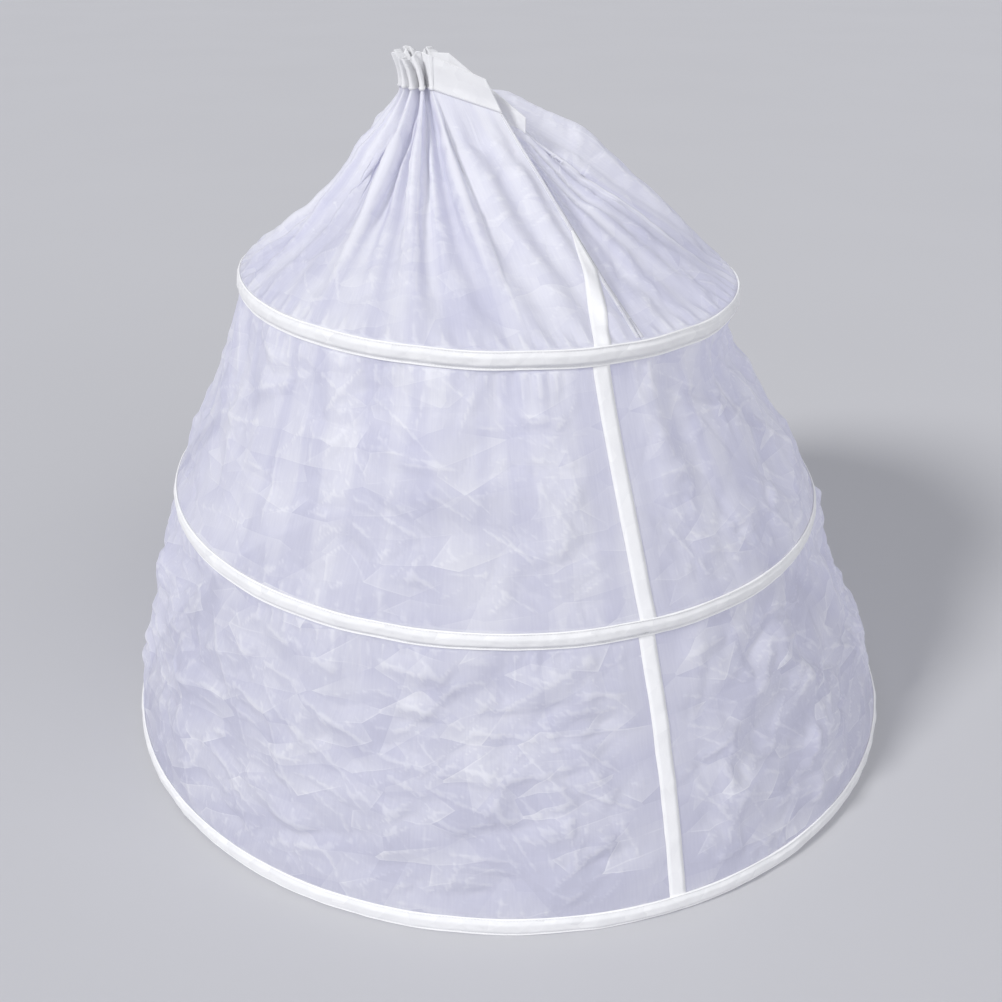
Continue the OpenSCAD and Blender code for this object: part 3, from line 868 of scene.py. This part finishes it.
def stage_floor(finish, colour):
    """Plain matt floor with the faintest unevenness."""
    cloud = finish.noise(finish.here(), 0.8)
    return finish.principled({
        "Base Color": finish.colour(brighter(colour, 0.98), brighter(colour, 1.02), cloud),
        "Roughness": 0.9, "Specular IOR Level": 0.1})


def pale_backdrop(world):
    """Even soft light all round, and a backdrop about as pale as the floor where it is seen."""
    sky = Finish(world)
    ray = sky.add("ShaderNodeLightPath", {}, {})
    seen = (ray("Is Camera Ray") + ray("Is Glossy Ray") + ray("Is Transmission Ray")).clamp()
    strength = seen * (BACKDROP - SKY_LIGHT) + SKY_LIGHT
    light = sky.add("ShaderNodeBackground", {}, {"Color": SKY_COLOUR, "Strength": strength})
    sky.output("ShaderNodeOutputWorld", light("Background"))


def material(name, maker, *values, **settings):
    """The finish of that name, made the first time it is asked for."""
    if name not in made_finishes:
        made_finishes[name] = bpy.data.materials.new(name)
        finish = Finish(made_finishes[name])
        finish.output("ShaderNodeOutputMaterial", maker(finish, *values, **settings))
    return made_finishes[name]


# Operators


def choices(context):
    """The sizes and the finishes that the panel shows."""
    return context.scene.petticoat_sizes, context.scene.petticoat_finish


class PETTICOAT_OT_tiers(Operator):
    """Drape the three tiers of sheer cloth between the band and the hoops"""

    bl_idname = "petticoat.tiers"
    bl_label = "Sheer tiers"

    def execute(self, context):
        sizes, colours = choices(context)
        cloth = material("sheer_cloth", sheer_cloth, colours)
        sheets = {"upper_tier": upper_sheet(sizes),
                  "middle_tier": tier_sheet("middle", RINGS["top"], RINGS["middle"], sizes),
                  "lower_tier": tier_sheet("lower", RINGS["middle"], RINGS["hem"], sizes)}
        for node, sheet in sheets.items():
            piece = finish_piece(sheet.build(), cloth, "sheer_cloth", node)
            made_sheets[node] = sheet
            half_way = (sheet.edge(0) + sheet.edge(-1)) / 2
            sheet.lengths()[1][-1]
        return {"FINISHED"}


# Hems of the slit: rows down them, width, and how far they stand in and out of the cloth
SLIT_ROWS = 160
SLIT_HEM = 0.004
SLIT_IN, SLIT_OUT = -0.0003, 0.0004


class PETTICOAT_OT_slit(Operator):
    """Turn a narrow hem down both edges of the slit"""

    bl_idname = "petticoat.slit"
    bl_label = "Slit hems"

    def execute(self, context):
        colours = choices(context)[1]
        sheet = made_sheets["upper_tier"]
        cloth = material("slit_hem", woven_tape, colours.band, pitch=0.0006, wrinkle=0.0004, opacity=0.45)
        last = sheet.grid.shape[1] - 1.0
        row = np.linspace(HIDDEN_ROWS - 1, sheet.grid.shape[0] - HIDDEN_ROWS - 1, SLIT_ROWS)
        for name, edge, inward in (("near_slit_hem", last, -1), ("far_slit_hem", 0.0, 1)):
            at_edge, beside = (sheet.at(row, 0 * row + col)[0] for col in (edge, edge + inward))
            width = np.linalg.norm(at_edge - beside, axis=1)
            across = np.linspace(0, SLIT_HEM, 4)[:, None] / width * inward + edge
            across = across[::-1] if inward < 0 else across
            spot, normal = sheet.at(row + 0 * across, across)
            finish_piece(slab(name, spot, normal, SLIT_IN, SLIT_OUT).build(), cloth, "band_cloth")
        return {"FINISHED"}


# Section of the band from the waist seam up: heights as shares of the band's, and thicknesses as shares,
# with the turned-in cloth standing out above the seam
BAND_UP = (0.0, 0.04, 0.08, 0.12, 0.35, 0.65)
BAND_OUT = (1.0, 1.9, 1.9, 1.0, 1.0, 1.0)


class PETTICOAT_OT_band(Operator):
    """Fold the waistband along the waist line, bunched where it is held"""

    bl_idname = "petticoat.band"
    bl_label = "Waistband"

    def execute(self, context):
        sizes, colours = choices(context)
        waist = Waist(sizes)
        half = sizes.band_t / 2
        side = list(zip(half * np.array(BAND_OUT), np.array(BAND_UP) * sizes.band_h))
        arc = np.linspace(0, math.pi, 5)[::-1]
        section = [(half * math.cos(a), sizes.band_h - half + half * math.sin(a)) for a in arc]
        section += side[::-1] + [(-out, up) for out, up in side]
        grid = np.array([waist.on_band(sizes, across, up) for across, up in section])
        band = Sheet("waistband_cloth", grid, tube=True)
        made_sheets["waistband"] = band
        cloth = material("band_cloth", woven_tape, colours.band, pitch=0.0006, wrinkle=0.0009, opacity=0.9)
        piece = finish_piece(band.build(), cloth, "band_cloth", "waistband")
        run = float(steps_along(waist.seam()).sum())
        return {"FINISHED"}


CHANNEL_COLS = 900
# Section of a channel's outer face from its edge to its middle: distance in from the edge, and height as a
# share of the height over the steel, with a rolled edge and a groove at the stitching
CHANNEL_IN = (0.0, 0.0005, 0.0013, 0.0020, 0.0026, 0.0040, 0.0054, 0.0068, 0.0085)
CHANNEL_UP = (0.0, 0.24, 0.28, 0.06, 0.10, 0.24, 0.80, 1.0, 1.0)
STITCH_ROW = 3
# How far the tape stands outside the middle of the steel and inside it, and its thickness at the edges
OVER_STEEL = 0.0017
BEHIND_STEEL = 0.0026
EDGE_T = 0.0010
# Height of the back as a share of the front's
BACK_SHARE = 0.97
# Depth of the tape's waves and sharp wrinkles, and how far it wanders up and down
CHANNEL_WAVE, CHANNEL_WRINKLE, CHANNEL_SHIFT = 0.0004, 0.0005, 0.0008
CHANNEL_SEED = 70


class PETTICOAT_OT_channels(Operator):
    """Sew a tape channel round each hoop, flat at its edges and rounded over the steel"""

    bl_idname = "petticoat.channels"
    bl_label = "Tape channels"

    def execute(self, context):
        colours = choices(context)[1]
        tape = material("channel_tape", woven_tape, colours.tape, pitch=0.0008, wrinkle=0.0012, opacity=0.88)
        for k, ring in enumerate(RINGS.values()):
            sheet = channel_sheet(ring, CHANNEL_SEED + 10 * k)
            made_sheets[ring.name] = sheet
            piece = finish_piece(sheet.build(), tape, "channel_tape", f"{ring.name}_channel")
        return {"FINISHED"}


def channel_sheet(ring, seed):
    """A closed tube of tape: flat behind, raised over the steel, rolled at its edges and wrinkled."""
    az = np.linspace(0, FULL_TURN, CHANNEL_COLS, endpoint=False)
    inner = ring.radius - BEHIND_STEEL
    edge = inner + EDGE_T
    half = ring.tape / 2
    ups = half - np.array(CHANNEL_IN)
    ups = np.concatenate([ups, [0], -ups[::-1]])[:, None]
    raised = np.concatenate([CHANNEL_UP, [1.0], CHANNEL_UP[::-1]])[:, None]
    radius = edge + (ring.radius + OVER_STEEL - edge) * raised
    spot = ring.place(radius, az, ups)
    wrinkle = swell(spot, 0.05, seed) * CHANNEL_WAVE + creases(spot, 0.013, seed + 1, 4) * CHANNEL_WRINKLE
    shift = swell(spot, 0.11, seed + 2) * CHANNEL_SHIFT
    outer = ring.place(radius + wrinkle * (0.35 + 0.65 * raised), az, ups + shift)
    back = ring.place(inner, az, half * np.array([[-BACK_SHARE], [0], [BACK_SHARE]]))
    sheet = Sheet(f"{ring.name}_channel_tape", np.concatenate([outer, back]), closed=True, tube=True)
    sheet.gathered[:len(ups)] = np.abs(ups) > half - CHANNEL_IN[STITCH_ROW]
    return sheet


# Where the middle of the seam tape runs off the edge of the slit, as a share of the way down the upper tier,
# and how far above that its tip is looked for
SEAM_TIP = 0.6
SEAM_TIP_OVER = 0.16
# Points across the tape, rows on the upper tier and on each other tier, and its heights off the cloth
SEAM_COLS = 5
SEAM_ROWS_UPPER, SEAM_ROWS_TIER = 70, 110
SEAM_LOW, SEAM_HIGH = 0.0002, 0.0011
# How near its two edges come to the edge of the slit, as shares of the cloth below the near run
SEAM_LEFT_IN, SEAM_RIGHT_IN = 0.03, 0.01


class PETTICOAT_OT_seam_tape(Operator):
    """Lay the tape over the long seam, from the edge of the slit down to the hem"""

    bl_idname = "petticoat.seam_tape"
    bl_label = "Seam tape"

    def execute(self, context):
        sizes, colours = choices(context)
        parts = seam_on_upper(sizes), seam_on_tier("middle", sizes), seam_on_tier("lower", sizes)
        spot, normal = (np.concatenate(field, 1) for field in zip(*parts))
        sheet = slab("seam_tape_strip", spot, normal, SEAM_LOW, SEAM_HIGH)
        made_sheets["seam_tape"] = sheet
        tape = material("seam_tape", woven_tape, colours.tape, pitch=0.0008, wrinkle=0.0004, opacity=0.95)
        piece = finish_piece(sheet.build(), tape, "channel_tape", "seam_tape")
        return {"FINISHED"}


def seam_on_upper(sizes):
    """Points and normals of the tape on the upper tier, where it tapers in from the edge of the slit."""
    sheet = made_sheets["upper_tier"]
    top = RINGS["top"]
    spread = sizes.slit_az - sizes.near_az
    wide = (sizes.slit_az - top.seam) / spread
    v = np.linspace(SEAM_TIP - SEAM_TIP_OVER, 1, SEAM_ROWS_UPPER)
    middle = wide * (v - SEAM_TIP) / (1 - SEAM_TIP)
    half = sizes.seam_w / 2 / mix(sizes.near_run, spread * top.radius, v)
    left, right = np.maximum(SEAM_LEFT_IN, middle + half), np.maximum(SEAM_RIGHT_IN, middle - half)
    keep = middle + half > SEAM_LEFT_IN
    s = mix(left, right, np.linspace(0, 1, SEAM_COLS)[:, None])[:, keep]
    first = HIDDEN_ROWS - 1
    shares = row_shares(UPPER_ROWS, UPPER_CROWD)[first:-first]
    row = np.interp(v[keep], shares, first + np.arange(len(shares)))
    col = sheet.grid.shape[1] - 1 - s * (NEAR_COLS - 1)
    return sheet.at(row + 0 * s, col)


def seam_on_tier(name, sizes):
    """Points and normals of the tape down a tier, from channel to channel."""
    sheet = made_sheets[f"{name}_tier"]
    rows, cols = sheet.grid.shape[:2]
    row = np.linspace(0.5, rows - HIDDEN_ROWS, SEAM_ROWS_TIER)
    pitch = np.linalg.norm(sheet.at(row, 0 * row)[0] - sheet.at(row, 0 * row + 1)[0], axis=1)
    across = np.linspace(-sizes.seam_w / 2, sizes.seam_w / 2, SEAM_COLS)[:, None] / pitch
    return sheet.at(row + 0 * across, across + cols)


# One stitch: length, width and height, and how far its middle stands off the cloth
STITCH = (0.0024, 0.0005, 0.0004)
STITCH_LIFT = 0.0002
# Rows of each sheet that are stitched, and how many columns from its last the stitches end
CHANNEL_ROWS = (STITCH_ROW, 2 * len(CHANNEL_IN) - STITCH_ROW)
STITCHED = {"top": (CHANNEL_ROWS, 0), "middle": (CHANNEL_ROWS, 0), "hem": (CHANNEL_ROWS, 0),
            "waistband": ((4.0, 8.2), 0), "seam_tape": ((0.5, 3.5), 4)}


class PETTICOAT_OT_stitching(Operator):
    """Run rows of stitches along the channels, the seam tape and the band"""

    bl_idname = "petticoat.stitching"
    bl_label = "Stitching"

    def execute(self, context):
        sizes, colours = choices(context)
        thread = material("thread", woven_tape, colours.band, pitch=0.0004, wrinkle=0.0001, opacity=1.0)
        stitch = model_stitch()
        for name, (rows, short) in STITCHED.items():
            sheet = made_sheets[name]
            col = np.arange(sheet.grid.shape[1] + 1.0 - short)
            runs = [sheet.at(row + 0 * col, col) for row in rows]
            points = np.concatenate([sewn(stitch, *run, sizes.stitch_pitch) for run in runs])
            finish_piece(stitches_piece(f"{name}_stitches", stitch, points), thread, "channel_tape")
        return {"FINISHED"}


def model_stitch():
    """One stitch, as points and faces along X, from a low sphere."""
    bpy.ops.object.select_all(action="DESELECT")
    bpy.ops.mesh.primitive_uv_sphere_add(segments=6, ring_count=4, radius=0.5)
    ball = bpy.context.object
    bpy.ops.object.mode_set(mode="EDIT")
    bpy.ops.mesh.select_all(action="SELECT")
    bpy.ops.transform.rotate(value=math.pi / 2, orient_axis="Y", center_override=(0, 0, 0))
    bpy.ops.transform.resize(value=STITCH, center_override=(0, 0, 0))
    bpy.ops.object.mode_set(mode="OBJECT")
    mesh = ball.data
    points = np.array([vertex.co for vertex in mesh.vertices])
    faces = [list(polygon.vertices) for polygon in mesh.polygons]
    bpy.data.objects.remove(ball)
    bpy.data.meshes.remove(mesh)
    return points, faces


def sewn(stitch, spot, normal, pitch):
    """Copies of the stitch at even steps along a row of points, lying on the surface."""
    along = np.append(0, np.cumsum(steps_along(spot)))
    at = np.arange(pitch / 2, along[-1], pitch)
    fields = (spot, normal)
    place, up = (np.column_stack([np.interp(at, along, f[:, k]) for k in range(3)]) for f in fields)
    ahead = unit(np.gradient(place, axis=0))
    up = unit(up - ahead * (up * ahead).sum(1, keepdims=True))
    side = np.cross(up, ahead)
    x, y, z = stitch[0].T
    copies = [c[None, :, None] * w[:, None] for c, w in ((x, ahead), (y, side), (z, up))]
    return ((place + up * STITCH_LIFT)[:, None] + sum(copies)).reshape(-1, 3)


def stitches_piece(name, stitch, points):
    """One object of all the stitches whose points are given."""
    count = len(stitch[0])
    faces = [[v + start for v in face] for start in range(0, len(points), count) for face in stitch[1]]
    loops = sum(len(face) for face in faces)
    return mesh_piece(name, points, faces, np.zeros((loops, 2)))


class PETTICOAT_OT_hoops(Operator):
    """Finish the coated steel hoops and the metal sleeves that join their ends"""

    bl_idname = "petticoat.hoops"
    bl_label = "Hoops and joiners"

    def execute(self, context):
        colours = choices(context)[1]
        steel = material("coated_steel", coated_steel, colours.steel)
        metal = material("joiner_metal", joiner_metal, colours.joiner)
        for name in HOOPS:
            for node, finish in ((f"{name}_hoop", steel), (f"{name}_joiner", metal)):
                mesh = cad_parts[node].data
                mesh.materials.clear()
                mesh.materials.append(finish)
        return {"FINISHED"}


# Floor: its size, and how far it lies below the hem
FLOOR_SIZE, FLOOR_GAP = 60, 0.002
# Lamps: where their light comes from, how wide they look in degrees, and their strength
LAMPS = {"key": ((-1.0, -0.75, 0.9), 12, 2.05), "fill": ((0.9, -0.9, 0.9), 60, 1.0)}
# Camera of the photograph's view: place, turn up from straight down, and lens and sensor in millimetres
CAMERA_AT = (0.0855, -1.399, 0.2087)
CAMERA_UP = math.radians(62.347)
LENS, SENSOR = 42.84, 36


class PETTICOAT_OT_stage(Operator):
    """Set the plain pale floor, the soft lamps and the camera"""

    bl_idname = "petticoat.stage"
    bl_label = "Stage"

    def execute(self, context):
        colours = choices(context)[1]
        bpy.ops.object.select_all(action="DESELECT")
        bpy.ops.mesh.primitive_plane_add(size=FLOOR_SIZE, location=(0, 0, cad_box[0].z - FLOOR_GAP))
        floor = context.object
        floor.name = "floor"
        floor.data.materials.append(material("stage_floor", stage_floor, colours.floor))
        context.scene.world = bpy.data.worlds.new("studio")
        pale_backdrop(context.scene.world)
        for name, (place, soft, power) in LAMPS.items():
            lamp = bpy.data.lights.new(name, "SUN")
            lamp.energy, lamp.angle = power, math.radians(soft)
            lamp_object = bpy.data.objects.new(name, lamp)
            lamp_object.rotation_euler = Vector(place).to_track_quat("Z", "Y").to_euler()
            context.scene.collection.objects.link(lamp_object)
        view = bpy.data.cameras.new("photo_view")
        view.lens, view.sensor_width, view.sensor_fit = LENS, SENSOR, "HORIZONTAL"
        camera = bpy.data.objects.new("photo_view", view)
        camera.location = CAMERA_AT
        camera.rotation_euler = (CAMERA_UP, 0, 0)
        context.scene.collection.objects.link(camera)
        context.scene.camera = camera
        context.scene.view_settings.view_transform = "Standard"
        return {"FINISHED"}


class PETTICOAT_PT_panel(Panel):
    """Sizes, finishes and the pieces in the order they are made"""

    bl_label = "Crinoline Petticoat"
    bl_idname = "PETTICOAT_PT_panel"
    bl_space_type = "VIEW_3D"
    bl_region_type = "UI"
    bl_category = "Crinoline"

    def draw(self, context):
        layout = self.layout
        for group in choices(context):
            box = layout.box()
            for name in group.__annotations__:
                box.prop(group, name)
        for operator in OPERATORS:
            layout.operator(operator.bl_idname)


OPERATORS = (PETTICOAT_OT_stage, PETTICOAT_OT_tiers, PETTICOAT_OT_slit, PETTICOAT_OT_band,
             PETTICOAT_OT_channels, PETTICOAT_OT_seam_tape, PETTICOAT_OT_stitching, PETTICOAT_OT_hoops)
CLASSES = (PetticoatSizes, PetticoatFinish, *OPERATORS, PETTICOAT_PT_panel)


def register():
    for cls in CLASSES:
        bpy.utils.register_class(cls)
    bpy.types.Scene.petticoat_sizes = PointerProperty(type=PetticoatSizes)
    bpy.types.Scene.petticoat_finish = PointerProperty(type=PetticoatFinish)


def unregister():
    del bpy.types.Scene.petticoat_finish
    del bpy.types.Scene.petticoat_sizes
    for cls in reversed(CLASSES):
        bpy.utils.unregister_class(cls)


def main():
    register()
    bpy.ops.petticoat.stage()
    bpy.ops.petticoat.tiers()
    bpy.ops.petticoat.slit()
    bpy.ops.petticoat.band()
    bpy.ops.petticoat.channels()
    bpy.ops.petticoat.seam_tape()
    bpy.ops.petticoat.stitching()
    bpy.ops.petticoat.hoops()


if __name__ == "__main__":
    main()
